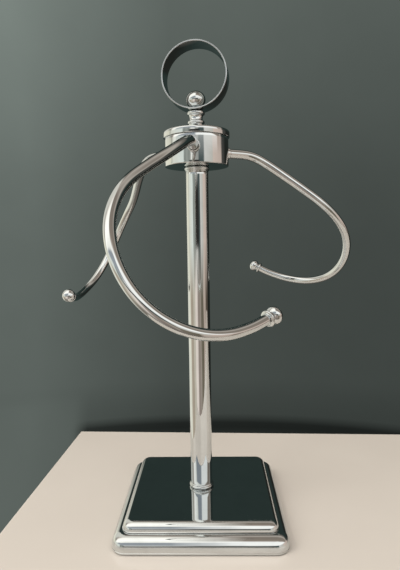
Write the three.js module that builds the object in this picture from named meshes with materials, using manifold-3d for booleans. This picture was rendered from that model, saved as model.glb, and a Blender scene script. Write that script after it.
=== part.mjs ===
// Valet stand: a two-tier square base, a round post, a drum hub with three
// swivelling hook arms, and a flat-band ring on a turned finial.
// Millimetres, +Z up, origin at the centre of the base's underside.
import * as THREE from 'three';
import { mergeVertices } from 'three/addons/utils/BufferGeometryUtils.js';
import Module from 'manifold-3d';

// ---------------------------------------------------------------- dimensions
const GAP = 0.3;               // working gap between neighbouring pieces
const LOWER_HALF = 80.6, LOWER_CORNER = 14, LOWER_TOP = 15.7, LOWER_ROUND = 10, LOWER_UNDER = 2;
const LOWER_SKIRT = 0.4;       // plate edge clears the table, the pad carries it
const SHELL = 2.0;             // wall of the pressed lower plate
const PAD_TOP = 2.0;
const UPPER_HALF = 71.2, UPPER_CORNER = 10.4, UPPER_TOP = 24.2, UPPER_ROUND = 7.4;
const POST_R = 11, POST_WALL = 1.6, POST_Z0 = 24.5, POST_Z1 = 347.8;
const ROD_R = 4;
const COLLAR_R = 12.4, COLLAR_H = 4.2;
const HUB_R = 30.95, HUB_Z0 = 348.1, HUB_Z1 = 375.0, HUB_WALL = 2.2, HUB_FLOOR = 3;
const LID_R = 32.1, LID_Z0 = 375.3, LID_TOP = 381.6, LID_ROUND = 1.9;
const AXIS_Z = 363.0;          // height of the arms' sockets
const FERRULE_R = 5.95, FERRULE_OUT = 35.6, FERRULE_IN = 27.6, FERRULE_SEAT = 31.0;
const STUB_R = 3.2, STUB_END = 19.2;
const BAR_R0 = 4.75, BAR_R1 = 4.05, SPIGOT_R = 2.2, SPIGOT_L = 7.4;
const KNOB_BACK = 8.7;         // bar shoulder to ball centre
const KNOB_R = 6.85;
const RING_R = 31.45, RING_T = 1.3, RING_W = 21.6, RING_Z = 432.6, RING_YAW = -8.0;
const STUD_R = 2.5;
const ARM_AZIMUTH = [-93.2, 26.8, 146.8];   // socket directions seen from above
const ARM_ROLL = [-3.0, 11.8, -5.2];        // how each arm is turned in its socket
const ARM_SET = [0.3, 0.2, -5.6];           // small hand-bent set at each elbow
// centreline of one arm: radial, tangential, height above the socket axis
const ARM_PATH = [
  [31.3, 0, 0], [40, 0, 0], [50, 0, 0], [59, -0.4, -0.5], [68, -2.4, -2.9],
  [78.3, -6.0, -7.9], [96.9, -15.6, -19.2], [114.5, -26.3, -30.9],
  [132.9, -36.1, -43.7], [151.3, -41.0, -58.9], [166.9, -41.0, -77.7],
  [176.8, -34.4, -99.1], [180.6, -21.4, -119.4], [179.1, -3.6, -135.0],
  [172.4, 17.9, -144.8], [159.6, 38.0, -147.5], [143.2, 56.0, -144.4],
  [126.7, 72.6, -137.7],
];

// ------------------------------------------------------------------- helpers
const wasm = await Module();
wasm.setup();
const group = new THREE.Group();
group.name = 'valet_stand';

function weld(geom) {
  const g = geom.index ? geom.clone() : geom.clone();
  g.deleteAttribute('normal');
  g.deleteAttribute('uv');
  return mergeVertices(g, 1e-4);
}
function solid(geom) {
  const g = weld(geom);
  return new wasm.Manifold(new wasm.Mesh({
    numProp: 3,
    vertProperties: new Float32Array(g.attributes.position.array),
    triVerts: new Uint32Array(g.index.array),
  }));
}
function toGeometry(man) {
  const m = man.getMesh();
  const g = new THREE.BufferGeometry();
  g.setAttribute('position', new THREE.BufferAttribute(new Float32Array(m.vertProperties), 3));
  g.setIndex(new THREE.BufferAttribute(new Uint32Array(m.triVerts), 1));
  return g;
}
const FINISH = {
  chrome: [0xc9cccf, 0.07, 1.0],
  steel: [0x8d9094, 0.35, 1.0],
  iron: [0x3a3c3f, 0.7, 0.9],
  pad: [0x1c1c1e, 0.9, 0.0],
};
function add(name, geom, finish) {
  const [color, roughness, metalness] = FINISH[finish];
  const g = geom.index ? geom.toNonIndexed() : geom;
  g.deleteAttribute('normal');
  g.computeVertexNormals();
  const mesh = new THREE.Mesh(g, new THREE.MeshStandardMaterial({ color, roughness, metalness }));
  mesh.name = name;
  group.add(mesh);
}
// solid of revolution about +Z from [radius, height] pairs
function lathe(profile, segments = 28) {
  const g = new THREE.LatheGeometry(profile.map(([r, z]) => new THREE.Vector2(r, z)), segments);
  g.rotateX(Math.PI / 2);
  return g;
}
function outward(geom) {
  const g = weld(geom);
  const p = g.attributes.position, ix = g.index.array;
  const a = new THREE.Vector3(), b = new THREE.Vector3(), c = new THREE.Vector3();
  let v = 0;
  for (let i = 0; i < ix.length; i += 3) {
    a.fromBufferAttribute(p, ix[i]); b.fromBufferAttribute(p, ix[i + 1]); c.fromBufferAttribute(p, ix[i + 2]);
    v += a.dot(b.cross(c));
  }
  if (v < 0) for (let i = 0; i < ix.length; i += 3) { const t = ix[i]; ix[i] = ix[i + 1]; ix[i + 1] = t; }
  return g;
}
function turned(profile, segments) { return outward(lathe(profile, segments)); }
function tube(r0, r1, z0, z1, segments = 28) {
  return turned([[r0, z0], [r1, z0], [r1, z1], [r0, z1], [r0, z0]], segments);
}
function rod(r, z0, z1, segments = 20, chamfer = 0) {
  return chamfer
    ? turned([[0, z0], [r - chamfer, z0], [r, z0 + chamfer], [r, z1 - chamfer], [r - chamfer, z1], [0, z1]], segments)
    : turned([[0, z0], [r, z0], [r, z1], [0, z1]], segments);
}
function ringOf(half, corner, z, arc = 6) {
  const out = [];
  const c = half - corner;
  for (let k = 0; k < 4; k++) {
    const sx = [1, -1, -1, 1][k], sy = [1, 1, -1, -1][k];
    for (let i = 0; i <= arc; i++) {
      const t = (k + i / arc) * Math.PI / 2;
      out.push([sx * c + corner * Math.cos(t), sy * c + corner * Math.sin(t), z]);
    }
  }
  return out;
}
// closed solid through a stack of loops with equal point counts
function stack(loops) {
  const n = loops[0].length, pos = [], idx = [];
  loops.forEach(l => l.forEach(p => pos.push(...p)));
  const mid = l => [l.reduce((s, p) => s + p[0], 0) / n, l.reduce((s, p) => s + p[1], 0) / n, l.reduce((s, p) => s + p[2], 0) / n];
  const m0 = loops.length * n, m1 = m0 + 1;
  pos.push(...mid(loops[0]), ...mid(loops[loops.length - 1]));
  for (let k = 0; k + 1 < loops.length; k++) for (let i = 0; i < n; i++) {
    const a = k * n + i, b = k * n + (i + 1) % n, c = a + n, d = b + n;
    idx.push(a, b, d, a, d, c);
  }
  const top = (loops.length - 1) * n;
  for (let i = 0; i < n; i++) {
    idx.push(m0, (i + 1) % n, i);
    idx.push(m1, top + i, top + (i + 1) % n);
  }
  const g = new THREE.BufferGeometry();
  g.setAttribute('position', new THREE.BufferAttribute(new Float32Array(pos), 3));
  g.setIndex(idx);
  return outward(g);
}
function plate(half, corner, z0, z1, round, steps = 5, arc = 6, under = 0) {
  const loops = under
    ? [60, 30, 0].map(d => ringOf(half - under * (1 - Math.cos(deg(d))), corner - under * (1 - Math.cos(deg(d))), z0 + under * (1 - Math.sin(deg(d))), arc))
    : [ringOf(half, corner, z0, arc)];
  for (let i = 0; i <= steps; i++) {
    const t = (i / steps) * Math.PI / 2;
    const inset = round * (1 - Math.cos(t));
    loops.push(ringOf(half - inset, Math.max(corner - inset, 1), z1 - round + round * Math.sin(t), arc));
  }
  return stack(loops);
}
function hexPrism(flats, z0, z1, bore) {
  const r = flats / Math.sqrt(3), loop = z => [...Array(6)].map((_, i) =>
    [r * Math.cos(i * Math.PI / 3), r * Math.sin(i * Math.PI / 3), z]);
  const body = solid(stack([loop(z0), loop(z1)]));
  return toGeometry(body.subtract(solid(rod(bore, z0 - 1, z1 + 1, 24))));
}
// bar swept along sample points with a radius for each sample
function sweep(points, radii, sides) {
  const loops = [];
  let normal = new THREE.Vector3(0, 0, 1);
  for (let i = 0; i < points.length; i++) {
    let a = i, b = i;
    while (b < points.length - 1 && points[b].distanceTo(points[i]) < 1e-6) b++;
    while (a > 0 && points[a].distanceTo(points[i]) < 1e-6) a--;
    const tan = points[b].clone().sub(points[a]).normalize();
    normal = normal.clone().addScaledVector(tan, -normal.dot(tan)).normalize();
    const bi = new THREE.Vector3().crossVectors(tan, normal);
    loops.push([...Array(sides)].map((_, k) => {
      const t = (k / sides) * 2 * Math.PI, v = points[i].clone()
        .addScaledVector(normal, radii[i] * Math.cos(t)).addScaledVector(bi, radii[i] * Math.sin(t));
      return [v.x, v.y, v.z];
    }));
  }
  return stack(loops);
}
const deg = d => d * Math.PI / 180;

// ---------------------------------------------------------------------- base
{
  const inset = LOWER_HALF - SHELL;
  const shell = solid(plate(LOWER_HALF, LOWER_CORNER, LOWER_SKIRT, LOWER_TOP, LOWER_ROUND, 6, 6, LOWER_UNDER))
    .subtract(solid(plate(inset, LOWER_CORNER - SHELL, LOWER_SKIRT - 1, LOWER_TOP - SHELL, LOWER_ROUND - SHELL)))
    .subtract(solid(rod(ROD_R + GAP, 0, 20)));
  add('lower_plate', toGeometry(shell), 'chrome');
  const slab = solid(plate(inset - GAP, LOWER_CORNER - SHELL - GAP, PAD_TOP + GAP, LOWER_TOP - SHELL - GAP, LOWER_ROUND - SHELL, 3))
    .subtract(solid(rod(ROD_R + GAP, 0, 20)))
    .subtract(solid(rod(12, 0, 9.6)));
  add('ballast_slab', toGeometry(slab), 'iron');
  add('base_pad', stack([ringOf(inset - GAP, LOWER_CORNER - SHELL - GAP, 0), ringOf(inset - GAP, LOWER_CORNER - SHELL - GAP, PAD_TOP)]), 'pad');
  const upper = solid(stack([
    ringOf(UPPER_HALF + 0.65, UPPER_CORNER + 0.65, LOWER_TOP + GAP),
    ringOf(UPPER_HALF + 0.6, UPPER_CORNER + 0.6, LOWER_TOP + GAP + 0.4),
    ringOf(UPPER_HALF + 0.1, UPPER_CORNER + 0.1, LOWER_TOP + GAP + 0.65),
    ...[0, 1, 2, 3, 4, 5].map(i => {
      const t = (i / 5) * Math.PI / 2, d = UPPER_ROUND * (1 - Math.cos(t));
      return ringOf(UPPER_HALF - d, UPPER_CORNER - d, UPPER_TOP - UPPER_ROUND + UPPER_ROUND * Math.sin(t));
    }),
  ])).subtract(solid(rod(ROD_R + GAP, 0, 40)));
  add('upper_plate', toGeometry(upper), 'chrome');
  add('base_washer', tube(ROD_R + GAP, 10.5, 7.8, 9.3, 32), 'steel');
  add('base_nut', hexPrism(13, 3.0, 7.5, ROD_R + GAP), 'steel');
}

// ---------------------------------------------------------------------- post
add('tie_rod', rod(ROD_R, 2.6, 359.5, 24, 0.6), 'steel');
add('post_tube', tube(POST_R - POST_WALL, POST_R, POST_Z0, POST_Z1, 40), 'chrome');
function beadCollar(z) {
  const r0 = POST_R + GAP, h = COLLAR_H, pr = [[r0, z], [COLLAR_R - 0.8, z]];
  for (let i = 1; i <= 7; i++) {
    const t = -Math.PI / 2 + (i / 8) * Math.PI;
    pr.push([COLLAR_R - 0.8 + 0.8 * Math.cos(t) * 1.0, z + h / 2 + (h / 2) * Math.sin(t)]);
  }
  pr.push([COLLAR_R - 0.8, z + h], [r0, z + h], [r0, z]);
  return turned(pr, 28);
}
add('bottom_collar', beadCollar(POST_Z0), 'chrome');
add('top_collar', beadCollar(POST_Z1 - COLLAR_H), 'chrome');

// ----------------------------------------------------------------------- hub
const hubProfile = [
  [ROD_R + GAP, HUB_Z0], [HUB_R - 0.5, HUB_Z0], [HUB_R, HUB_Z0 + 0.5], [HUB_R, HUB_Z1],
  [HUB_R - HUB_WALL, HUB_Z1], [HUB_R - HUB_WALL, HUB_Z0 + HUB_FLOOR], [ROD_R + GAP, HUB_Z0 + HUB_FLOOR],
  [ROD_R + GAP, HUB_Z0],
];
let hub = solid(turned(hubProfile, 48));
for (const az of ARM_AZIMUTH) {
  const bore = rod(FERRULE_R + GAP, 24, 40, 32);
  bore.rotateY(Math.PI / 2);
  bore.rotateZ(deg(az));
  bore.translate(0, 0, AXIS_Z);
  hub = hub.subtract(solid(bore));
}
add('hub_body', toGeometry(hub), 'chrome');
add('top_washer', tube(ROD_R + GAP, 9, 351.4, 352.9, 32), 'steel');
add('coupling_nut', hexPrism(13, 353.2, 370.4, ROD_R + GAP), 'steel');
{
  const pr = [[STUD_R + GAP, LID_Z0 - 4], [HUB_R - HUB_WALL - GAP, LID_Z0 - 4], [HUB_R - HUB_WALL - GAP, LID_Z0],
    [LID_R - 0.4, LID_Z0], [LID_R, LID_Z0 + 0.4]];
  for (let i = 0; i <= 6; i++) {
    const t = (i / 6) * Math.PI / 2;
    pr.push([LID_R - LID_ROUND * (1 - Math.cos(t)), LID_TOP - LID_ROUND + LID_ROUND * Math.sin(t)]);
  }
  pr.push([STUD_R + GAP, LID_TOP], [STUD_R + GAP, LID_Z0 - 4]);
  add('hub_lid', turned(pr, 48), 'chrome');
}

// -------------------------------------------------------------------- finial
{
  const b = STUD_R + GAP, z0 = LID_TOP + GAP;
  const pr = [[b, z0], [6.85, z0], [6.85, 388.6], [7.6, 389.2], [8.15, 390.0], [8.15, 390.8], [7.6, 391.6],
    [6.7, 392.1], [6.35, 393.2], [6.3, 394.6], [6.5, 396.0], [7.1, 397.2], [8.1, 397.9], [8.45, 398.7],
    [8.45, 399.6], [7.9, 400.3], [6.6, RING_Z - RING_R - GAP], [b, RING_Z - RING_R - GAP], [b, z0]];
  add('finial_neck', turned(pr, 24), 'chrome');
  add('finial_stud', rod(STUD_R, 361.0, 408.8, 20, 0.4), 'steel');
  const zb = RING_Z - RING_R + RING_T + 2 * GAP, zc = 411.45, R = 9.4, RZ = 8.6, prb = [[0, 409.2], [b, 409.2], [b, zb], [4.0, zb]];
  const t0 = -Math.acos(4.0 / R);
  for (let i = 0; i <= 11; i++) {
    const t = t0 + (i / 11) * (Math.PI / 2 - t0);
    prb.push([i === 11 ? 0 : R * Math.cos(t), zc + RZ * Math.sin(t)]);
  }
  add('finial_ball', turned(prb, 28), 'chrome');
}
{
  const h = RING_W / 2, e = 0.35;
  const band = lathe([[RING_R - RING_T, -h + e], [RING_R - RING_T + e, -h], [RING_R - e, -h], [RING_R, -h + e],
    [RING_R, h - e], [RING_R - e, h], [RING_R - RING_T + e, h], [RING_R - RING_T, h - e], [RING_R - RING_T, -h + e]], 56);
  band.rotateX(Math.PI / 2);
  let ring = solid(outward(band)).subtract(solid(rod(STUD_R + GAP, -40, -20, 24)));
  const g = toGeometry(ring);
  g.rotateZ(deg(RING_YAW));
  g.translate(0, 0, RING_Z);
  add('top_ring', g, 'chrome');
}

// ---------------------------------------------------------------------- arms
function armPoints(k) {
  const set = deg(ARM_SET[k]), roll = deg(ARM_ROLL[k]), az = deg(ARM_AZIMUTH[k]);
  return ARM_PATH.map(([r, t, z]) => {
    if (r > 45) {
      const a = r - 45;
      [r, t] = [45 + a * Math.cos(set) - t * Math.sin(set), a * Math.sin(set) + t * Math.cos(set)];
    }
    const t2 = t * Math.cos(roll) - z * Math.sin(roll), z2 = t * Math.sin(roll) + z * Math.cos(roll);
    return new THREE.Vector3(r * Math.cos(az) - t2 * Math.sin(az), r * Math.sin(az) + t2 * Math.cos(az), z2 + AXIS_Z);
  });
}
['a', 'b', 'c'].forEach((tag, k) => {
  const az = deg(ARM_AZIMUTH[k]);
  const radial = r => new THREE.Vector3(r * Math.cos(az), r * Math.sin(az), AXIS_Z);
  const place = g => { g.rotateY(Math.PI / 2); g.rotateZ(az); g.translate(0, 0, AXIS_Z); return g; };

  add('ferrule_' + tag, place(turned([[STUB_R + GAP, FERRULE_IN], [FERRULE_R, FERRULE_IN], [FERRULE_R, FERRULE_OUT - 0.8],
    [FERRULE_R - 0.3, FERRULE_OUT - 0.2], [FERRULE_R - 0.7, FERRULE_OUT], [BAR_R0 + GAP, FERRULE_OUT],
    [BAR_R0 + GAP, FERRULE_SEAT], [STUB_R + GAP, FERRULE_SEAT], [STUB_R + GAP, FERRULE_IN]], 24)), 'chrome');
  add('stub_washer_' + tag, place(tube(STUB_R + GAP, 6.0, FERRULE_IN - GAP - 1.1, FERRULE_IN - GAP, 24)), 'steel');
  add('stub_nut_' + tag, place(hexPrism(10, FERRULE_IN - GAP - 1.1 - GAP - 4.6, FERRULE_IN - GAP - 1.1 - GAP, STUB_R + GAP)), 'steel');

  const curve = new THREE.CatmullRomCurve3(armPoints(k), false, 'centripetal');
  curve.arcLengthDivisions = 600;
  const L = curve.getLength(), uEnd = (L - KNOB_BACK) / L, N = 34;
  const pts = [radial(STUB_END), radial(STUB_END + 0.6), radial(31.3)], rad = [STUB_R - 0.6, STUB_R, STUB_R];
  for (let i = 0; i <= N; i++) {
    pts.push(i === 0 ? radial(31.3) : curve.getPointAt(uEnd * i / N));
    rad.push(BAR_R0 + (BAR_R1 - BAR_R0) * i / N);
  }
  const end = curve.getPointAt(uEnd), dir = curve.getPointAt(1).sub(end).normalize();
  pts.push(end.clone(), end.clone().addScaledVector(dir, SPIGOT_L));
  rad.push(SPIGOT_R, SPIGOT_R);
  add('arm_' + tag, sweep(pts, rad, 12), 'chrome');

  const turn = new THREE.Quaternion().setFromUnitVectors(new THREE.Vector3(0, 0, 1), dir);
  const onEnd = g => { g.applyQuaternion(turn); g.translate(end.x, end.y, end.z); return g; };
  const c0 = GAP, c1 = GAP + 2.5, s = SPIGOT_R + GAP;
  add('knob_collar_' + tag, onEnd(turned([[s, c0], [5.5, c0], [6.2, c0 + 0.6], [6.35, (c0 + c1) / 2], [6.2, c1 - 0.6],
    [5.5, c1], [s, c1], [s, c0]], 20)), 'chrome');
  const b0 = c1 + GAP, zc = KNOB_BACK, rz = 5.3, pr = [[0, SPIGOT_L + 0.4], [s, SPIGOT_L + 0.4], [s, b0], [4.2, b0]];
  const t0 = -Math.acos(4.2 / KNOB_R);
  for (let i = 0; i <= 9; i++) {
    const t = t0 + (i / 9) * (Math.PI / 2 - t0);
    pr.push([i === 9 ? 0 : KNOB_R * Math.cos(t), zc + rz * Math.sin(t)]);
  }
  add('knob_ball_' + tag, onEnd(turned(pr, 20)), 'chrome');
});

export default group;
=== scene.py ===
"""Valet stand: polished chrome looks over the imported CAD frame. Metres, row frame."""
import bpy
import bmesh
import math
from mathutils import Matrix, Quaternion, Vector


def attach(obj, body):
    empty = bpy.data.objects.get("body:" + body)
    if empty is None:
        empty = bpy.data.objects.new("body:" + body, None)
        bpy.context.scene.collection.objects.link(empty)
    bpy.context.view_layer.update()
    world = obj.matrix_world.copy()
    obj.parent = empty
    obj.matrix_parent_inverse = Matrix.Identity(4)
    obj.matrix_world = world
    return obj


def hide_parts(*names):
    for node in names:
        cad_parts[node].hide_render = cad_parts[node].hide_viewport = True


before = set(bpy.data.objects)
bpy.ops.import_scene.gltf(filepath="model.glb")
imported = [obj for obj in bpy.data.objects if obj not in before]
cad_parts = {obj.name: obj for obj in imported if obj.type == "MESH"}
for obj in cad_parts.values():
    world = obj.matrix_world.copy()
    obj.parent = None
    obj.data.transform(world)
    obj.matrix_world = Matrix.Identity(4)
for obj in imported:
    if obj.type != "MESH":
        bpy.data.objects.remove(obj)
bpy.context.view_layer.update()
MM = 0.001

# ------------------------------------------------------------------ dimensions (mm)
GAP = 0.3
LOWER_HALF, LOWER_CORNER, LOWER_TOP, LOWER_ROUND, LOWER_SKIRT = 80.6, 14.0, 15.7, 10.0, 0.4
UPPER_HALF, UPPER_CORNER, UPPER_TOP, UPPER_ROUND = 71.2, 10.4, 24.2, 7.4
POST_R, POST_Z0, POST_Z1 = 11.0, 24.5, 347.8
COLLAR_R, COLLAR_H = 12.4, 4.2
HUB_R, HUB_Z0, HUB_Z1, HUB_WALL = 30.95, 348.1, 375.0, 2.2
LID_R, LID_Z0, LID_TOP, LID_ROUND = 32.1, 375.3, 381.6, 1.9
AXIS_Z = 363.0
FERRULE_R, FERRULE_OUT, FERRULE_SEAT = 5.95, 35.6, 31.0
BAR_R0, BAR_R1, KNOB_BACK, KNOB_R = 4.75, 4.05, 8.7, 6.85
RING_R, RING_T, RING_W, RING_Z, RING_YAW = 31.45, 1.3, 21.6, 432.6, -8.0
STUD_R = 2.5
ARM_AZIMUTH = [-93.2, 26.8, 146.8]
ARM_ROLL = [-3.0, 11.8, -5.2]
ARM_SET = [0.3, 0.2, -5.6]
ARM_PATH = [
    (31.3, 0, 0), (40, 0, 0), (50, 0, 0), (59, -0.4, -0.5), (68, -2.4, -2.9),
    (78.3, -6.0, -7.9), (96.9, -15.6, -19.2), (114.5, -26.3, -30.9),
    (132.9, -36.1, -43.7), (151.3, -41.0, -58.9), (166.9, -41.0, -77.7),
    (176.8, -34.4, -99.1), (180.6, -21.4, -119.4), (179.1, -3.6, -135.0),
    (172.4, 17.9, -144.8), (159.6, 38.0, -147.5), (143.2, 56.0, -144.4),
    (126.7, 72.6, -137.7),
]


# ------------------------------------------------------------------ materials
def nodes_of(name):
    m = bpy.data.materials.new(name)
    m.use_nodes = True
    nt = m.node_tree
    nt.nodes.clear()
    out = nt.nodes.new("ShaderNodeOutputMaterial")
    bsdf = nt.nodes.new("ShaderNodeBsdfPrincipled")
    nt.links.new(bsdf.outputs[0], out.inputs[0])
    return m, nt, bsdf


def node(nt, kind, **kw):
    n = nt.nodes.new(kind)
    for k, v in kw.items():
        if k.startswith("in_"):
            n.inputs[k[3:].replace("_", " ")].default_value = v
        else:
            setattr(n, k, v)
    return n


def ramp(nt, stops, interp="LINEAR"):
    r = nt.nodes.new("ShaderNodeValToRGB")
    r.color_ramp.interpolation = interp
    els = r.color_ramp.elements
    while len(els) > 1:
        els.remove(els[-1])
    els[0].position = stops[0][0]
    els[0].color = (*stops[0][1], 1) if isinstance(stops[0][1], tuple) else (stops[0][1],) * 3 + (1,)
    for p, c in stops[1:]:
        e = els.new(p)
        e.color = (*c, 1) if isinstance(c, tuple) else (c, c, c, 1)
    return r


def chrome(name, tint=(0.66, 0.685, 0.69), rough=(0.025, 0.075), wave=(14, 14, 5), wave_d=0.00009,
           lines=(900, 900, 40), seed=0.0):
    """Polished chrome plate: faint tone variation, wipe marks and specks in the gloss, hairlines and a slow ripple in the surface."""
    m, nt, b = nodes_of(name)
    L = nt.links.new
    tc = node(nt, "ShaderNodeTexCoord")
    off = node(nt, "ShaderNodeMapping")
    off.inputs["Location"].default_value = (seed, seed * 0.7, seed * 0.31)
    L(tc.outputs["Object"], off.inputs["Vector"])
    # slow tone variation and wipe marks
    smudge = node(nt, "ShaderNodeTexNoise", in_Scale=38.0, in_Detail=4.0, in_Roughness=0.6, in_Distortion=0.8)
    L(off.outputs[0], smudge.inputs["Vector"])
    fine = node(nt, "ShaderNodeTexNoise", in_Scale=420.0, in_Detail=3.0, in_Roughness=0.7)
    L(off.outputs[0], fine.inputs["Vector"])
    tone = ramp(nt, [(0.30, tuple(c * 0.93 for c in tint)), (0.55, tint), (0.8, tuple(min(1, c * 1.03) for c in tint))])
    L(smudge.outputs["Fac"], tone.inputs["Fac"])
    # sparse dust and pitting specks
    vor = node(nt, "ShaderNodeTexVoronoi", in_Scale=260.0)
    L(off.outputs[0], vor.inputs["Vector"])
    spot = ramp(nt, [(0.0, 1.0), (0.07, 1.0), (0.11, 0.0)])
    L(vor.outputs["Distance"], spot.inputs["Fac"])
    rare = ramp(nt, [(0.62, 0.0), (0.68, 1.0)])
    L(fine.outputs["Fac"], rare.inputs["Fac"])
    speck = node(nt, "ShaderNodeMath", operation="MULTIPLY")
    L(spot.outputs["Color"], speck.inputs[0])
    L(rare.outputs["Color"], speck.inputs[1])
    col = node(nt, "ShaderNodeMix", data_type="RGBA")
    col.inputs["B"].default_value = (0.55, 0.55, 0.53, 1)
    L(speck.outputs[0], col.inputs["Factor"])
    L(tone.outputs["Color"], col.inputs["A"])
    # edge wear from the surface's own pointedness
    geo = node(nt, "ShaderNodeNewGeometry")
    edge = ramp(nt, [(0.52, 0.0), (0.60, 1.0)])
    L(geo.outputs["Pointiness"], edge.inputs["Fac"])
    # gloss
    rr = ramp(nt, [(0.35, rough[0]), (0.62, rough[0] * 1.5), (0.80, rough[1])])
    L(smudge.outputs["Fac"], rr.inputs["Fac"])
    add1 = node(nt, "ShaderNodeMath", operation="MULTIPLY_ADD")
    add1.inputs[1].default_value = 0.16
    L(speck.outputs[0], add1.inputs[0])
    L(rr.outputs["Color"], add1.inputs[2])
    add2 = node(nt, "ShaderNodeMath", operation="MULTIPLY_ADD")
    add2.inputs[1].default_value = 0.035
    L(edge.outputs["Color"], add2.inputs[0])
    L(add1.outputs[0], add2.inputs[2])
    L(add2.outputs[0], b.inputs["Roughness"])
    L(col.outputs["Result"], b.inputs["Base Color"])
    b.inputs["Metallic"].default_value = 1.0
    # hairlines and ripple
    ml = node(nt, "ShaderNodeMapping")
    ml.inputs["Scale"].default_value = lines
    L(off.outputs[0], ml.inputs["Vector"])
    hair = node(nt, "ShaderNodeTexNoise", in_Scale=1.0, in_Detail=2.0, in_Roughness=0.5)
    L(ml.outputs[0], hair.inputs["Vector"])
    mw = node(nt, "ShaderNodeMapping")
    mw.inputs["Scale"].default_value = wave
    L(off.outputs[0], mw.inputs["Vector"])
    wav = node(nt, "ShaderNodeTexNoise", in_Scale=1.0, in_Detail=1.5, in_Roughness=0.45)
    L(mw.outputs[0], wav.inputs["Vector"])
    b1 = node(nt, "ShaderNodeBump", in_Strength=0.35, in_Distance=0.0000022)
    L(hair.outputs["Fac"], b1.inputs["Height"])
    b2 = node(nt, "ShaderNodeBump", in_Strength=1.0, in_Distance=wave_d)
    L(wav.outputs["Fac"], b2.inputs["Height"])
    L(b1.outputs[0], b2.inputs["Normal"])
    L(b2.outputs[0], b.inputs["Normal"])
    return m


def steel(name, tint=(0.56, 0.57, 0.58), rough=(0.28, 0.5)):
    m, nt, b = nodes_of(name)
    L = nt.links.new
    tc = node(nt, "ShaderNodeTexCoord")
    n1 = node(nt, "ShaderNodeTexNoise", in_Scale=180.0, in_Detail=5.0)
    mp = node(nt, "ShaderNodeMapping")
    mp.inputs["Scale"].default_value = (600, 600, 90)
    n2 = node(nt, "ShaderNodeTexNoise", in_Scale=1.0, in_Detail=3.0)
    L(tc.outputs["Object"], n1.inputs["Vector"])
    L(tc.outputs["Object"], mp.inputs["Vector"])
    L(mp.outputs[0], n2.inputs["Vector"])
    c = ramp(nt, [(0.3, tuple(x * 0.75 for x in tint)), (0.7, tint)])
    L(n1.outputs["Fac"], c.inputs["Fac"])
    r = ramp(nt, [(0.3, rough[0]), (0.7, rough[1])])
    L(n2.outputs["Fac"], r.inputs["Fac"])
    L(c.outputs["Color"], b.inputs["Base Color"])
    L(r.outputs["Color"], b.inputs["Roughness"])
    b.inputs["Metallic"].default_value = 1.0
    bm = node(nt, "ShaderNodeBump", in_Strength=0.4, in_Distance=0.00002)
    L(n2.outputs["Fac"], bm.inputs["Height"])
    L(bm.outputs[0], b.inputs["Normal"])
    return m


def matt(name, c0, c1, scale, rough, bump, metallic=0.0):
    m, nt, b = nodes_of(name)
    L = nt.links.new
    tc = node(nt, "ShaderNodeTexCoord")
    n1 = node(nt, "ShaderNodeTexNoise", in_Scale=scale, in_Detail=6.0, in_Roughness=0.65)
    L(tc.outputs["Object"], n1.inputs["Vector"])
    c = ramp(nt, [(0.3, c0), (0.7, c1)])
    L(n1.outputs["Fac"], c.inputs["Fac"])
    r = ramp(nt, [(0.3, rough[0]), (0.7, rough[1])])
    L(n1.outputs["Fac"], r.inputs["Fac"])
    L(c.outputs["Color"], b.inputs["Base Color"])
    L(r.outputs["Color"], b.inputs["Roughness"])
    b.inputs["Metallic"].default_value = metallic
    bm = node(nt, "ShaderNodeBump", in_Strength=0.5, in_Distance=bump)
    L(n1.outputs["Fac"], bm.inputs["Height"])
    L(bm.outputs[0], b.inputs["Normal"])
    return m


M_POST = chrome("chrome_post", wave=(36, 36, 7), wave_d=0.00045, lines=(1400, 1400, 22), seed=0.13)
M_ARM = chrome("chrome_bar", wave=(30, 30, 30), wave_d=0.00016, lines=(300, 300, 300), seed=0.41)
M_HUB = chrome("chrome_hub", wave=(44, 44, 16), wave_d=0.00042, lines=(120, 120, 2600), seed=0.72)
M_LID = chrome("chrome_lid", wave=(40, 40, 40), wave_d=0.00026, lines=(900, 900, 2600), seed=0.93)
M_TURNED = chrome("chrome_turned", wave=(60, 60, 60), wave_d=0.00010, lines=(160, 160, 3200), seed=1.21)
M_BALL = chrome("chrome_ball", wave=(90, 90, 90), wave_d=0.00010, lines=(300, 300, 2400), seed=1.57)
M_RING = chrome("chrome_ring", wave=(26, 60, 26), wave_d=0.00008, lines=(90, 2600, 90), seed=1.83, rough=(0.03, 0.09))
M_BASE = chrome("chrome_base", wave=(22, 22, 22), wave_d=0.00014, lines=(60, 1500, 1500), seed=2.11, rough=(0.022, 0.06))
M_BASE2 = chrome("chrome_base_low", wave=(24, 24, 40), wave_d=0.00026, lines=(60, 1500, 1500), seed=2.57, rough=(0.025, 0.07))
M_STEEL = steel("zinc_steel")
M_IRON = matt("cast_iron", (0.03, 0.03, 0.032), (0.09, 0.09, 0.095), 300, (0.55, 0.8), 0.0003, 0.85)
M_PAD = matt("rubber_pad", (0.018, 0.018, 0.02), (0.05, 0.05, 0.052), 900, (0.75, 0.95), 0.00015)


# ------------------------------------------------------------------ mesh helpers (mm in, metres out)
def make(name, verts, faces, mat, body, replaces, sharp=40):
    me = bpy.data.meshes.new(name)
    me.from_pydata([tuple(c * MM for c in v) for v in verts], [], faces)
    me.validate()
    me.polygons.foreach_set("use_smooth", [True] * len(me.polygons))
    me.set_sharp_from_angle(angle=math.radians(sharp))
    me.materials.append(mat)
    o = bpy.data.objects.new(name, me)
    bpy.context.scene.collection.objects.link(o)
    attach(o, body)
    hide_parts(*replaces)
    return o


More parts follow.
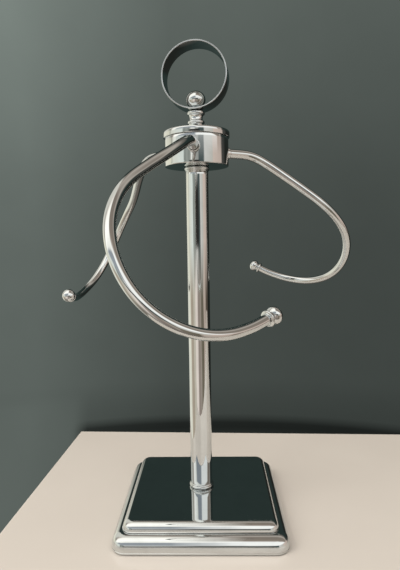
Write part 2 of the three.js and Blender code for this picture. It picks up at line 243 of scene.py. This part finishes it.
def fillet(pts, radii, steps=6):
    """Round the inner corners of an open [r, z] polyline."""
    out = [pts[0]]
    for i in range(1, len(pts) - 1):
        rad = radii.get(i, 0) if isinstance(radii, dict) else radii
        p, a, b = Vector(pts[i]), Vector(pts[i - 1]), Vector(pts[i + 1])
        d0, d1 = (a - p), (b - p)
        l0, l1 = d0.length, d1.length
        if rad <= 0 or l0 < 1e-9 or l1 < 1e-9:
            out.append(tuple(p))
            continue
        d0, d1 = d0 / l0, d1 / l1
        ang = math.acos(max(-1, min(1, d0.dot(d1))))
        if ang > math.pi - 0.02:
            out.append(tuple(p))
            continue
        t = min(rad / math.tan(ang / 2), l0 * 0.49, l1 * 0.49)
        r = t * math.tan(ang / 2)
        c = p + (d0 + d1).normalized() * (r / math.sin(ang / 2))
        s, e = p + d0 * t - c, p + d1 * t - c
        a0, a1 = math.atan2(s.y, s.x), math.atan2(e.y, e.x)
        da = (a1 - a0 + math.pi) % (2 * math.pi) - math.pi
        for k in range(steps + 1):
            q = a0 + da * k / steps
            out.append((c.x + r * math.cos(q), c.y + r * math.sin(q)))
    out.append(pts[-1])
    return out


def revolve(profile, seg=96, closed=False):
    """profile [r, z] revolved about Z. Open profiles start and end on the axis; closed ones join up."""
    verts, faces, rows = [], [], []
    for r, z in profile:
        if r < 1e-6:
            rows.append([len(verts)])
            verts.append((0, 0, z))
        else:
            rows.append(list(range(len(verts), len(verts) + seg)))
            verts += [(r * math.cos(2 * math.pi * k / seg), r * math.sin(2 * math.pi * k / seg), z) for k in range(seg)]
    n = len(rows)
    for i in range(n if closed else n - 1):
        a, b = rows[i], rows[(i + 1) % n]
        for k in range(seg):
            k2 = (k + 1) % seg
            if len(a) == 1 and len(b) == 1:
                continue
            if len(a) == 1:
                faces.append((a[0], b[k2], b[k]))
            elif len(b) == 1:
                faces.append((a[k], a[k2], b[0]))
            else:
                faces.append((a[k], a[k2], b[k2], b[k]))
    return verts, faces


def move(verts, mat):
    return [tuple(mat @ Vector(v)) for v in verts]


def outline(half, corner, z, arc=14):
    c, out = half - corner, []
    for k, (sx, sy) in enumerate(((1, 1), (-1, 1), (-1, -1), (1, -1))):
        for i in range(arc + 1):
            t = (k + i / arc) * math.pi / 2
            out.append((sx * c + corner * math.cos(t), sy * c + corner * math.sin(t), z))
        # points along the straight side keep the ripple and the shading even
        t = (k + 1) * math.pi / 2
        nx, ny = ((-1, 1), (-1, -1), (1, -1), (1, 1))[k]
        x0, y0 = out[-1][0], out[-1][1]
        x1, y1 = nx * c + corner * math.cos(t), ny * c + corner * math.sin(t)
        for j in range(1, 6):
            out.append((x0 + (x1 - x0) * j / 6, y0 + (y1 - y0) * j / 6, z))
    return out


def loft(loops, cap_bottom=True, cap_top=True):
    n = len(loops[0])
    verts = [p for l in loops for p in l]
    faces = []
    for k in range(len(loops) - 1):
        for i in range(n):
            a, b = k * n + i, k * n + (i + 1) % n
            faces.append((a, b, b + n, a + n))
    if cap_bottom:
        faces.append(tuple(reversed(range(n))))
    if cap_top:
        faces.append(tuple(range((len(loops) - 1) * n, len(loops) * n)))
    return verts, faces


# ------------------------------------------------------------------ base
def base_piece(name, half, corner, rows, mat, body, replaces):
    loops = [outline(half + d, max(corner + d, 0.5), z) for d, z in rows]
    v, f = loft(loops)
    return make(name, v, f, mat, body, replaces, sharp=30)


def quarter(half_drop, z_top, steps=12):
    return [(-half_drop * (1 - math.cos(i / steps * math.pi / 2)), z_top - half_drop + half_drop * math.sin(i / steps * math.pi / 2))
            for i in range(steps + 1)]


rows = [(-1.3, LOWER_SKIRT), (-0.75, LOWER_SKIRT + 0.3), (-0.35, LOWER_SKIRT + 0.75), (-0.12, LOWER_SKIRT + 1.3), (-0.06, LOWER_SKIRT + 1.9),
        (-0.08, LOWER_SKIRT + 2.2), (-0.26, LOWER_SKIRT + 2.38), (-0.26, LOWER_SKIRT + 2.5), (-0.04, LOWER_SKIRT + 2.7), (0.0, LOWER_SKIRT + 3.2), (0.0, 4.6)]
rows += quarter(LOWER_ROUND, LOWER_TOP, 26)[0:]
rows += [(-LOWER_ROUND - 1.5, LOWER_TOP), (-LOWER_ROUND - 8, LOWER_TOP)]
base_piece("lower_plate_shell", LOWER_HALF, LOWER_CORNER, rows, M_BASE2, "stand", ["lower_plate"])
z0 = LOWER_TOP + GAP
rows = [(0.2, z0 - 0.2), (0.5, z0 - 0.08), (0.64, z0 + 0.12), (0.64, z0 + 0.34), (0.46, z0 + 0.52), (0.16, z0 + 0.62), (0.02, z0 + 0.74)]
rows += quarter(UPPER_ROUND, UPPER_TOP, 22)
rows += [(-UPPER_ROUND - 1.5, UPPER_TOP), (-UPPER_ROUND - 8, UPPER_TOP)]
base_piece("upper_plate_step", UPPER_HALF, UPPER_CORNER, rows, M_BASE, "stand", ["upper_plate"])
pad = [outline(LOWER_HALF - 2.3 - d, LOWER_CORNER - 2.3, z) for d, z in ((0.4, 0.0), (0.1, 0.15), (0.0, 0.5), (0.0, 1.9))]
v, f = loft(pad)
make("base_pad_sheet", v, f, M_PAD, "stand", ["base_pad"], sharp=50)


# ------------------------------------------------------------------ post and collars
prof = [(POST_R - 1.6, POST_Z0), (POST_R - 0.15, POST_Z0), (POST_R, POST_Z0 + 0.2)]
prof += [(POST_R, POST_Z0 + 0.2 + (POST_Z1 - POST_Z0 - 0.4) * i / 40) for i in range(1, 40)]
prof += [(POST_R, POST_Z1 - 0.2), (POST_R - 0.15, POST_Z1), (POST_R - 1.6, POST_Z1)]
v, f = revolve(prof, 128, closed=True)
make("post_tube_round", v, f, M_POST, "stand", ["post_tube"])


def bead(name, z, node_name, flip=False):
    """Rolled bead with a small shoulder on the side away from the face it stands on."""
    h, r0 = COLLAR_H, POST_R + 0.05
    pts = [(r0, 0.0), (COLLAR_R - 0.9, 0.0), (COLLAR_R - 0.55, 0.35)]
    for i in range(13):
        t = -math.pi / 2 + math.pi * i / 12
        pts.append((COLLAR_R - 1.15 + 1.15 * math.cos(t), 0.45 + 1.25 + 1.25 * math.sin(t)))
    pts += [(COLLAR_R - 0.95, 3.05), (POST_R + 0.75, 3.25), (POST_R + 0.62, 3.75), (POST_R + 0.35, 4.1), (r0, h)]
    if flip:
        pts = [(r, h - zz) for r, zz in reversed(pts)]
    v, f = revolve([(r, z + zz) for r, zz in pts], 96, closed=True)
    make(name, v, f, M_TURNED, "stand", [node_name])


bead("foot_bead", POST_Z0, "bottom_collar")
bead("head_bead", POST_Z1 - COLLAR_H, "top_collar", flip=True)

# ------------------------------------------------------------------ hub
prof = [(9.0, HUB_Z0), (HUB_R - 0.7, HUB_Z0), (HUB_R - 0.25, HUB_Z0 + 0.1), (HUB_R - 0.05, HUB_Z0 + 0.35), (HUB_R, HUB_Z0 + 0.8)]
prof += [(HUB_R, HUB_Z0 + 0.8 + (HUB_Z1 - HUB_Z0 - 1.2) * i / 12) for i in range(1, 12)]
prof += [(HUB_R, HUB_Z1 - 0.4), (HUB_R - 0.12, HUB_Z1 - 0.1), (HUB_R - 0.4, HUB_Z1), (HUB_R - HUB_WALL, HUB_Z1),
         (HUB_R - HUB_WALL, HUB_Z0 + 3.0), (9.0, HUB_Z0 + 3.0)]
v, f = revolve(prof, 192, closed=True)
hub = make("hub_drum", v, f, M_HUB, "stand", ["hub_body"], sharp=50)
prof = [(STUD_R + GAP, LID_Z0 - 3.8), (HUB_R - HUB_WALL - GAP, LID_Z0 - 3.8), (HUB_R - HUB_WALL - GAP, LID_Z0),
        (LID_R - 0.35, LID_Z0), (LID_R - 0.08, LID_Z0 + 0.12), (LID_R, LID_Z0 + 0.45), (LID_R, LID_TOP - LID_ROUND - 0.6)]
prof += [(LID_R + d, z) for d, z in quarter(LID_ROUND, LID_TOP, 14)]
prof += [(LID_R - 6, LID_TOP), (LID_R - 14, LID_TOP), (STUD_R + GAP, LID_TOP)]
v, f = revolve(prof, 192, closed=True)
make("hub_cap", v, f, M_LID, "stand", ["hub_lid"], sharp=40)

# ------------------------------------------------------------------ finial
zt = RING_Z - RING_R - GAP
pts = [(STUD_R + GAP, LID_TOP + 0.05), (6.75, LID_TOP + 0.05), (6.85, LID_TOP + 0.35), (6.85, 388.0), (6.95, 388.5),
       (7.5, 388.85), (7.95, 389.3), (8.17, 389.9), (8.2, 390.5), (8.1, 391.05), (7.7, 391.5), (7.15, 391.75), (6.75, 392.0), (6.5, 392.6),
       (6.36, 393.4), (6.3, 394.4), (6.36, 395.3), (6.55, 396.2), (6.95, 396.95), (7.7, 397.35),
       (8.25, 397.75), (8.45, 398.3), (8.45, 399.3), (8.3, 399.9), (7.9, 400.3), (7.1, zt - 0.1), (6.4, zt), (STUD_R + GAP, zt)]
v, f = revolve(pts, 96, closed=True)
make("finial_turning", v, f, M_TURNED, "stand", ["finial_neck"], sharp=60)
zb, zc, RX, RZ = RING_Z - RING_R + RING_T + 0.35, 411.45, 9.4, 8.6
t0 = -math.acos(4.1 / RX)
pts = [(0, zb + 0.3), (3.9, zb), (4.05, zb + 0.3)]
pts += [(RX * math.cos(t0 + (math.pi / 2 - t0) * i / 40) if i < 40 else 0.0, zc + RZ * math.sin(t0 + (math.pi / 2 - t0) * i / 40)) for i in range(41)]
v, f = revolve(pts, 96)
make("finial_globe", v, f, M_BALL, "stand", ["finial_ball"], sharp=50)

# ring band: rectangle section with small rolled edges, revolved about its own level axis
h, e = RING_W / 2, 0.42
sec = []
for cx, cy, a0 in ((RING_R - RING_T + e, -h + e, math.pi), (RING_R - e, -h + e, 1.5 * math.pi), (RING_R - e, h - e, 0.0), (RING_R - RING_T + e, h - e, 0.5 * math.pi)):
    for i in range(6):
        a = a0 + i / 5 * math.pi / 2
        sec.append((cx + e * math.cos(a), cy + e * math.sin(a)))
v, f = revolve(sec, 256, closed=True)
T = Matrix.Translation((0, 0, RING_Z)) @ Matrix.Rotation(math.radians(RING_YAW), 4, "Z") @ Matrix.Rotation(math.pi / 2, 4, "X")
make("top_band_ring", move(v, T), f, M_RING, "ring", ["top_ring"], sharp=60)


# ------------------------------------------------------------------ arms
def arm_points(k):
    s, roll, az = (math.radians(x[k]) for x in (ARM_SET, ARM_ROLL, ARM_AZIMUTH))
    out = []
    for r, t, z in ARM_PATH:
        if r > 45:
            a = r - 45
            r, t = 45 + a * math.cos(s) - t * math.sin(s), a * math.sin(s) + t * math.cos(s)
        t2, z2 = t * math.cos(roll) - z * math.sin(roll), t * math.sin(roll) + z * math.cos(roll)
        out.append(Vector((r * math.cos(az) - t2 * math.sin(az), r * math.sin(az) + t2 * math.cos(az), z2 + AXIS_Z)))
    return out


def catmull(P, per=40):
    """Centripetal Catmull-Rom through P, sampled evenly in each span's curve parameter."""
    Q = [P[0] * 2 - P[1]] + P + [P[-1] * 2 - P[-2]]
    out = []
    for i in range(1, len(Q) - 2):
        p0, p1, p2, p3 = Q[i - 1:i + 3]
        t0 = 0.0
        t1 = t0 + (p1 - p0).length ** 0.5
        t2 = t1 + (p2 - p1).length ** 0.5
        t3 = t2 + (p3 - p2).length ** 0.5
        for j in range(per + (1 if i == len(Q) - 3 else 0)):
            t = t1 + (t2 - t1) * j / per
            a1 = p0 * ((t1 - t) / (t1 - t0)) + p1 * ((t - t0) / (t1 - t0))
            a2 = p1 * ((t2 - t) / (t2 - t1)) + p2 * ((t - t1) / (t2 - t1))
            a3 = p2 * ((t3 - t) / (t3 - t2)) + p3 * ((t - t2) / (t3 - t2))
            b1 = a1 * ((t2 - t) / (t2 - t0)) + a2 * ((t - t0) / (t2 - t0))
            b2 = a2 * ((t3 - t) / (t3 - t1)) + a3 * ((t - t1) / (t3 - t1))
            out.append(b1 * ((t2 - t) / (t2 - t1)) + b2 * ((t - t1) / (t2 - t1)))
    return out


def even(pts, count, stop=None):
    s = [0.0]
    for a, b in zip(pts, pts[1:]):
        s.append(s[-1] + (b - a).length)
    total = s[-1] - (stop or 0.0)
    out, j = [], 0
    for i in range(count + 1):
        d = total * i / count
        while j < len(s) - 2 and s[j + 1] < d:
            j += 1
        u = (d - s[j]) / max(s[j + 1] - s[j], 1e-9)
        out.append(pts[j].lerp(pts[j + 1], u))
    return out


def smooth(pts, times, keep):
    pts = [p.copy() for p in pts]
    for _ in range(times):
        q = [p.copy() for p in pts]
        for i in range(keep, len(pts) - keep):
            q[i] = pts[i] * 0.5 + (pts[i - 1] + pts[i + 1]) * 0.25
        pts = q
    return pts


def sweep(pts, radii, seg=72):
    n = None
    loops = []
    for i, p in enumerate(pts):
        a, b = pts[max(i - 1, 0)], pts[min(i + 1, len(pts) - 1)]
        t = (b - a).normalized()
        if n is None:
            n = Vector((0, 0, 1))
        n = (n - t * n.dot(t)).normalized()
        bi = t.cross(n)
        loops.append([tuple(p + (n * math.cos(2 * math.pi * k / seg) + bi * math.sin(2 * math.pi * k / seg)) * radii[i]) for k in range(seg)])
    return loft(loops)


for k, tag in enumerate("abc"):
    az = math.radians(ARM_AZIMUTH[k])
    P = even(catmull(arm_points(k)), 320, stop=KNOB_BACK)
    P = smooth(P, 30, 20)
    rad = [BAR_R0 + (BAR_R1 - BAR_R0) * i / 320 for i in range(321)]
    d_end = (P[-1] - P[-4]).normalized()
    out_dir = Vector((math.cos(az), math.sin(az), 0))
    # hidden stub inside the ferrule and a softened shoulder under the knob collar
    pts = [out_dir * 20 + Vector((0, 0, AXIS_Z)), out_dir * 31.0 + Vector((0, 0, AXIS_Z)), out_dir * 31.25 + Vector((0, 0, AXIS_Z))] + P
    rr = [3.1, 3.1, BAR_R0 - 0.15] + rad
    pts += [P[-1] + d_end * 0.12, P[-1] + d_end * 0.2, P[-1] + d_end * 7.0]
    rr += [BAR_R1 - 0.2, 2.2, 2.2]
    v, f = sweep(pts, rr)
    make("arm_bar_" + tag, v, f, M_ARM, "arm_" + tag, ["arm_" + tag], sharp=45)

    place = Matrix.Translation((0, 0, AXIS_Z)) @ Matrix.Rotation(az, 4, "Z") @ Matrix.Rotation(math.pi / 2, 4, "Y")
    prof = [(3.5, 27.6), (FERRULE_R, 27.6), (FERRULE_R, FERRULE_OUT - 1.0), (FERRULE_R - 0.06, FERRULE_OUT - 0.6),
            (FERRULE_R - 0.25, FERRULE_OUT - 0.25), (FERRULE_R - 0.55, FERRULE_OUT - 0.05), (FERRULE_R - 0.8, FERRULE_OUT),
            (BAR_R0 + 0.25, FERRULE_OUT), (BAR_R0 + 0.12, FERRULE_OUT - 0.2), (BAR_R0 + 0.12, FERRULE_SEAT), (3.5, FERRULE_SEAT)]
    v, f = revolve(prof, 72, closed=True)
    make("socket_ferrule_" + tag, move(v, place), f, M_TURNED, "stand", ["ferrule_" + tag], sharp=50)

    turn = Matrix.Translation(P[-1]) @ d_end.to_track_quat("Z", "Y").to_matrix().to_4x4()
    c = [(2.4, 0.22), (4.6, 0.22), (4.75, 0.5), (5.1, 0.72), (5.6, 0.78), (6.05, 0.95), (6.3, 1.35), (6.35, 1.75), (6.25, 2.2), (5.95, 2.58), (5.5, 2.76), (5.0, 2.8), (2.4, 2.8)]
    v, f = revolve(c, 72, closed=True)
    make("knob_rim_" + tag, move(v, turn), f, M_TURNED, "arm_" + tag, ["knob_collar_" + tag], sharp=60)
    zc, rz, r0 = KNOB_BACK, 5.3, 4.2
    t0 = -math.acos(r0 / KNOB_R)
    pts = [(0, 3.1), (r0 - 0.3, 3.0), (r0, 3.2), (r0 - 0.02, 3.5)]
    pts += [(KNOB_R * math.cos(t0 + (math.pi / 2 - t0) * i / 32) if i < 32 else 0.0, zc + rz * math.sin(t0 + (math.pi / 2 - t0) * i / 32)) for i in range(33)]
    v, f = revolve(pts, 72)
    make("knob_globe_" + tag, move(v, turn), f, M_BALL, "arm_" + tag, ["knob_ball_" + tag], sharp=50)

# CAD nodes that stay: hidden hardware gets its own finish
for n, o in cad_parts.items():
    if o.hide_render:
        continue
    m = M_IRON if n == "ballast_slab" else M_STEEL
    for s in range(max(1, len(o.material_slots))):
        if o.material_slots:
            o.material_slots[s].material = m
        else:
            o.data.materials.append(m)

# ------------------------------------------------------------------ stage
def table_material():
    m, nt, b = nodes_of("table_top")
    L = nt.links.new
    tc = node(nt, "ShaderNodeTexCoord")
    n = node(nt, "ShaderNodeTexNoise", in_Scale=6.0, in_Detail=5.0)
    L(tc.outputs["Object"], n.inputs["Vector"])
    c = ramp(nt, [(0.3, (0.62, 0.57, 0.52)), (0.7, (0.65, 0.60, 0.548))])
    L(n.outputs["Fac"], c.inputs["Fac"])
    L(c.outputs["Color"], b.inputs["Base Color"])
    n2 = node(nt, "ShaderNodeTexNoise", in_Scale=60.0, in_Detail=3.0)
    L(tc.outputs["Object"], n2.inputs["Vector"])
    rr_ = ramp(nt, [(0.35, 0.16), (0.65, 0.22)])
    L(n2.outputs["Fac"], rr_.inputs["Fac"])
    L(rr_.outputs["Color"], b.inputs["Roughness"])
    b.inputs["Specular IOR Level"].default_value = 0.5
    return m


# table slab: its back and left edges pass close behind and beside the stand
BL, BR, FL = Vector((-0.1814, 0.2040)), Vector((0.2224, 0.1886)), Vector((-0.2048, -0.26))
edge = (BR - BL).normalized()
corners = [BL, BL + edge * 1.6, BL + edge * 1.6 + Vector((0.0, -0.46)), FL + Vector((0.0, -0.02))]
v = [(p.x, p.y, 0.0) for p in corners] + [(p.x, p.y, -0.03) for p in corners]
me = bpy.data.meshes.new("stage_table")
me.from_pydata(v, [], [(3, 2, 1, 0), (4, 5, 6, 7), (0, 1, 5, 4), (1, 2, 6, 5), (2, 3, 7, 6), (3, 0, 4, 7)])
me.validate()
table = bpy.data.objects.new("stage_table", me)
bpy.context.scene.collection.objects.link(table)
bm = bmesh.new()
bm.from_mesh(me)
bmesh.ops.recalc_face_normals(bm, faces=bm.faces)
bm.to_mesh(me)
bm.free()
bev = table.modifiers.new("b", "BEVEL")
bev.width, bev.segments = 0.0015, 3
me.materials.append(table_material())

# room seen in the chrome: a dark grey-green wall behind, a pale room in front
world = bpy.data.worlds.new("room")
bpy.context.scene.world = world
world.use_nodes = True
nt = world.node_tree
nt.nodes.clear()
L = nt.links.new
tc = node(nt, "ShaderNodeTexCoord")
wob = node(nt, "ShaderNodeTexNoise", in_Scale=3.0, in_Detail=2.0)
L(tc.outputs["Generated"], wob.inputs["Vector"])
sep = node(nt, "ShaderNodeSeparateXYZ")
L(tc.outputs["Generated"], sep.inputs[0])
neg = node(nt, "ShaderNodeMath", operation="MULTIPLY")
neg.inputs[1].default_value = -1.0
L(sep.outputs["Y"], neg.inputs[0])
at = node(nt, "ShaderNodeMath", operation="ARCTAN2")
L(sep.outputs["X"], at.inputs[0])
L(neg.outputs[0], at.inputs[1])
nrm = node(nt, "ShaderNodeMath", operation="MULTIPLY_ADD")
nrm.inputs[1].default_value = 1 / (2 * math.pi)
nrm.inputs[2].default_value = 0.5
L(at.outputs[0], nrm.inputs[0])
shift = node(nt, "ShaderNodeMath", operation="MULTIPLY_ADD")
shift.inputs[1].default_value = 0.03
L(wob.outputs["Fac"], shift.inputs[0])
L(nrm.outputs[0], shift.inputs[2])
shift2 = node(nt, "ShaderNodeMath", operation="SUBTRACT")
shift2.inputs[1].default_value = 0.029
L(shift.outputs[0], shift2.inputs[0])
wob2 = node(nt, "ShaderNodeTexNoise", in_Scale=11.0, in_Detail=1.0)
L(tc.outputs["Generated"], wob2.inputs["Vector"])
fine_shift = node(nt, "ShaderNodeMath", operation="MULTIPLY_ADD")
fine_shift.inputs[1].default_value = 0.028
L(wob2.outputs["Fac"], fine_shift.inputs[0])
L(shift2.outputs[0], fine_shift.inputs[2])
shift2 = fine_shift


def az(a):
    return a / 360.0 + 0.5


DARK, TEAL, WALL = (0.020, 0.022, 0.019), (0.095, 0.122, 0.120), (0.029, 0.043, 0.039)
UP = [(-180, WALL), (-158, (0.055, 0.075, 0.068)), (-150, (0.50, 0.49, 0.42)), (-143, (1.05, 1.02, 0.86)), (-104, (1.0, 0.95, 0.76)), (-99, (0.62, 0.62, 0.53)),
      (-92, (0.95, 0.93, 0.80)), (-66, (0.95, 0.98, 0.90)), (-48, (0.95, 1.0, 0.93)), (-44, (0.28, 0.30, 0.27)), (-34, (0.42, 0.44, 0.40)), (-22, (0.30, 0.32, 0.29)),
      (-18, (1.15, 1.12, 1.03)), (-6, (1.05, 1.03, 0.97)), (-2, (0.46, 0.46, 0.42)), (8, (0.42, 0.42, 0.39)), (11, TEAL), (26, TEAL), (29, (0.82, 0.79, 0.74)),
      (60, (0.68, 0.65, 0.58)), (63, (0.82, 0.66, 0.57)), (98, (0.70, 0.56, 0.48)), (104, (0.10, 0.095, 0.085)), (124, DARK), (155, DARK), (180, WALL)]
LOW = [(-180, WALL), (-155, (0.055, 0.075, 0.068)), (-149, (1.0, 0.98, 0.85)), (-96, (1.0, 0.96, 0.80)), (-90, (0.58, 0.48, 0.38)), (-62, (0.52, 0.44, 0.34)),
       (-56, (0.74, 0.67, 0.55)), (-40, (0.72, 0.65, 0.54)), (-35, (1.05, 0.92, 0.82)), (-15, (1.0, 0.87, 0.78)), (-10, (0.40, 0.32, 0.28)), (12, (0.36, 0.30, 0.25)),
       (17, (0.55, 0.47, 0.40)), (22, (0.26, 0.22, 0.17)), (48, (0.17, 0.145, 0.10)), (52, (0.64, 0.52, 0.44)), (72, (0.60, 0.48, 0.40)), (77, (0.17, 0.13, 0.10)),
       (104, (0.10, 0.08, 0.06)), (112, DARK), (155, DARK), (180, WALL)]
HI_L = [(-90, (0.5, 0.5, 0.48)), (10, (0.50, 0.52, 0.54)), (20, (0.44, 0.47, 0.50)), (37, (0.40, 0.43, 0.47)), (42, (1.25, 1.22, 1.12)), (60, (1.6, 1.56, 1.46)),
        (84, (1.5, 1.44, 1.32)), (94, (0.95, 0.86, 0.76)), (104, (0.48, 0.41, 0.35)), (118, (0.26, 0.23, 0.20)), (128, WALL), (180, WALL)]
HI_R = [(-90, (0.8, 0.8, 0.77)), (10, (0.95, 0.94, 0.90)), (15, (1.35, 1.33, 1.28)), (46, (1.35, 1.33, 1.28)), (52, (0.62, 0.54, 0.47)), (60, (0.34, 0.28, 0.23)),
        (90, (0.30, 0.25, 0.21)), (104, (0.62, 0.55, 0.48)), (112, (0.26, 0.23, 0.20)), (126, WALL), (180, WALL)]


def bands(fac, stops):
    r_ = ramp(nt, [(az(a), c) for a, c in stops])
    L(fac, r_.inputs["Fac"])
    return r_.outputs["Color"]


def mth(op, a, b=None, c=None):
    n = node(nt, "ShaderNodeMath", operation=op)
    for i, x in enumerate((a, b, c)):
        if x is None:
            continue
        if isinstance(x, (int, float)):
            n.inputs[i].default_value = x
        else:
            L(x, n.inputs[i])
    return n.outputs[0]


def mixc(fac, a, b):
    n = node(nt, "ShaderNodeMix", data_type="RGBA")
    L(fac, n.inputs["Factor"])
    for s_, x in (("A", a), ("B", b)):
        if isinstance(x, tuple):
            n.inputs[s_].default_value = (*x, 1)
        else:
            L(x, n.inputs[s_])
    return n.outputs["Result"]


def step(x, stops):
    r_ = ramp(nt, stops)
    L(x, r_.inputs["Fac"])
    return r_.outputs["Color"]


zz = mth("MULTIPLY_ADD", sep.outputs["Z"], 0.5, 0.5)
xx = mth("MULTIPLY_ADD", sep.outputs["X"], 0.5, 0.5)
ff = mth("MULTIPLY_ADD", neg.outputs[0], 0.5, 0.5)  # 1 towards the room, 0 towards the wall
tilt = mth("ARCTAN2", sep.outputs["Z"], neg.outputs[0])
tilt = mth("MULTIPLY_ADD", tilt, 1 / (2 * math.pi), 0.5)
tilt = mth("ADD", tilt, mth("MULTIPLY_ADD", wob.outputs["Fac"], 0.02, -0.01))
level = mixc(step(zz, [(0.44, 0.0), (0.495, 1.0)]), bands(shift2.outputs[0], LOW), bands(shift2.outputs[0], UP))
# floor of the room beyond the table
floor_ = step(zz, [(0.14, 1.0), (0.30, 0.0)])
level = mixc(mth("MULTIPLY", floor_, 0.8), level, (0.20, 0.17, 0.145))
# a dark line of furniture straight in front, at eye level
line = mth("MULTIPLY", step(zz, [(0.487, 0.0), (0.493, 1.0), (0.552, 1.0), (0.572, 0.0)]),
           step(shift2.outputs[0], [(az(-26), 0.0), (az(-20), 1.0), (az(10), 1.0), (az(14), 0.0)]))
level = mixc(line, level, (0.035, 0.034, 0.032))
high = mixc(step(xx, [(0.46, 0.0), (0.53, 1.0)]), bands(tilt, HI_L), bands(tilt, HI_R))
# the pale side of the room carries on upwards at the far left
side = step(shift2.outputs[0], [(az(-152), 0.0), (az(-145), 0.85), (az(-114), 0.85), (az(-98), 0.0)])
high = mixc(side, high, (0.98, 0.95, 0.85))
room = mixc(step(zz, [(0.585, 0.0), (0.635, 1.0)]), level, high)
# the wall as seen directly: lit from the left and from above, dark where it meets the table
wx = ramp(nt, [(c_, (0.848 * g_, g_, 0.909 * g_)) for c_, g_ in ((0.33, 0.139), (0.377, 0.1124), (0.416, 0.0959), (0.465, 0.0767), (0.528, 0.0754), (0.578, 0.0695), (0.638, 0.0659))])
L(xx, wx.inputs["Fac"])
gz_ = ramp(nt, [(0.24, 0.88 / 2), (0.300, 0.60 / 2), (0.315, 0.20 / 2), (0.3215, 0.24 / 2), (0.3265, 0.70 / 2), (0.345, 0.80 / 2), (0.361, 0.915 / 2), (0.438, 0.932 / 2), (0.50, 0.5), (0.56, 1.13 / 2), (0.672, 1.574 / 2), (0.711, 1.718 / 2), (0.80, 1.85 / 2)])
L(zz, gz_.inputs["Fac"])
wn = node(nt, "ShaderNodeTexNoise", in_Scale=9.0, in_Detail=5.0)
L(tc.outputs["Generated"], wn.inputs["Vector"])
below = mth("MULTIPLY", step(zz, [(0.345, 1.0), (0.361, 0.0)]), step(xx, [(0.366, 1.0), (0.378, 0.0)]))
gz2 = mixc(below, gz_.outputs["Color"], (0.46, 0.46, 0.46))
amount = mth("MULTIPLY", mth("MULTIPLY", gz2, 2.0), mth("MULTIPLY_ADD", wn.outputs["Fac"], 0.14, 0.93))
wall = node(nt, "ShaderNodeVectorMath", operation="SCALE")
L(wx.outputs["Color"], wall.inputs[0])
L(amount, wall.inputs["Scale"])
lp = node(nt, "ShaderNodeLightPath")
c4 = mixc(lp.outputs["Is Camera Ray"], room, wall.outputs[0])
bg = node(nt, "ShaderNodeBackground", in_Strength=1.0)
L(c4, bg.inputs["Color"])
wo = node(nt, "ShaderNodeOutputWorld")
L(bg.outputs[0], wo.inputs[0])


def area(name, loc, aim, size, power, color):
    d = bpy.data.lights.new(name, "AREA")
    d.shape, d.size, d.size_y = "RECTANGLE", size[0], size[1]
    d.energy, d.color = power, color
    o = bpy.data.objects.new(name, d)
    bpy.context.scene.collection.objects.link(o)
    o.location = loc
    o.rotation_mode = "QUATERNION"
    o.rotation_quaternion = (Vector(aim) - Vector(loc)).to_track_quat("-Z", "Y")
    o.visible_glossy = False
    return o


area("soft_left", (-1.3, -0.9, 1.5), (0, 0, 0.15), (1.1, 1.1), 17, (1.0, 0.97, 0.92))
area("soft_top", (0.35, -0.5, 2.1), (0, 0, 0), (1.6, 1.2), 17, (1.0, 0.96, 0.91))

# ------------------------------------------------------------------ camera
YAW = math.radians(1.552)
f_px, pitch, roll, pan, D, H = 488.694, math.radians(5.373), math.radians(-0.865), math.radians(0.155), 486.035, 278.143
w = Vector((math.sin(pan) * math.cos(pitch), math.cos(pan) * math.cos(pitch), -math.sin(pitch)))
r0 = Vector((math.cos(pan), -math.sin(pan), 0.0))
u0 = r0.cross(w)
r = r0 * math.cos(roll) + u0 * math.sin(roll)
u = u0 * math.cos(roll) - r0 * math.sin(roll)
basis = Matrix(((r.x, u.x, -w.x), (r.y, u.y, -w.y), (r.z, u.z, -w.z)))
R = Matrix.Rotation(YAW, 3, "Z")
cam = bpy.data.cameras.new("cam")
co = bpy.data.objects.new("cam", cam)
bpy.context.scene.collection.objects.link(co)
cam.sensor_fit = "AUTO"
cam.sensor_width = 36.0
cam.lens = f_px / 570.0 * 36.0
cam.clip_start, cam.clip_end = 0.01, 50
M = (R @ basis).to_4x4()
M.translation = R @ Vector((0, -D, H)) * MM
co.matrix_world = M
bpy.context.scene.camera = co
bpy.context.scene.view_settings.view_transform = "Standard"
